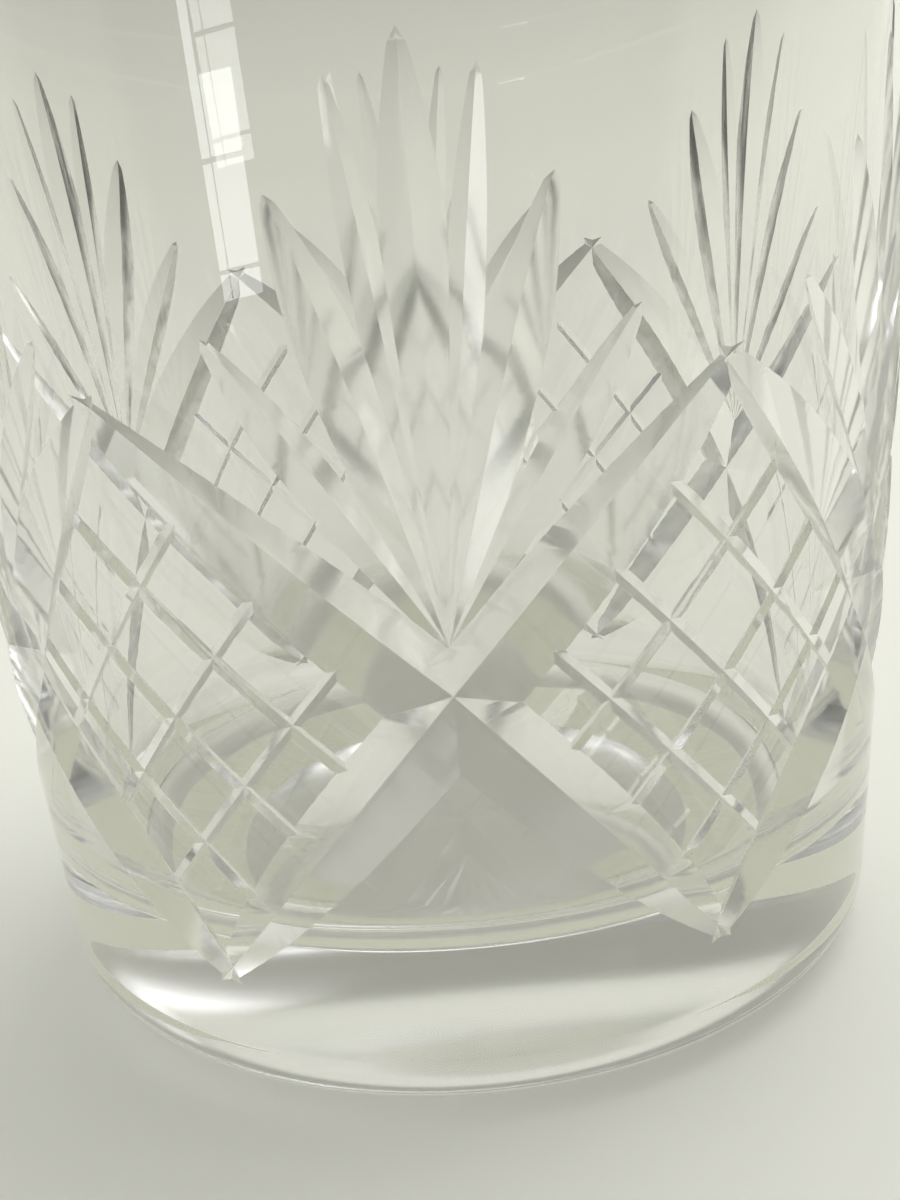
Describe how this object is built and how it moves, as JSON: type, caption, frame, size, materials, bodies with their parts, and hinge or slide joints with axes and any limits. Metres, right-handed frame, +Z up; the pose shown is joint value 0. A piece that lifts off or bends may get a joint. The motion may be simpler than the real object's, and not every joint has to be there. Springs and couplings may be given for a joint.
{
  "type": "whiskey tumbler",
  "caption": "Old-fashioned whiskey tumbler in clear cut crystal, thick base, cut with cross-hatched diamonds and leaf fans.",
  "frame": {"origin": "centre of the foot, on the surface that the tumbler stands on", "axes": "+Z up along the tumbler's axis; -Y points through the crossing of two mitre cuts under the middle of a fan"},
  "size_m": [0.086, 0.086, 0.09],
  "materials": {
    "crystal": "polished clear lead crystal, mirror-smooth"
  },
  "bodies": {
    "root": {"cut_glass_tumbler": "crystal"}
  },
  "joints": []
}
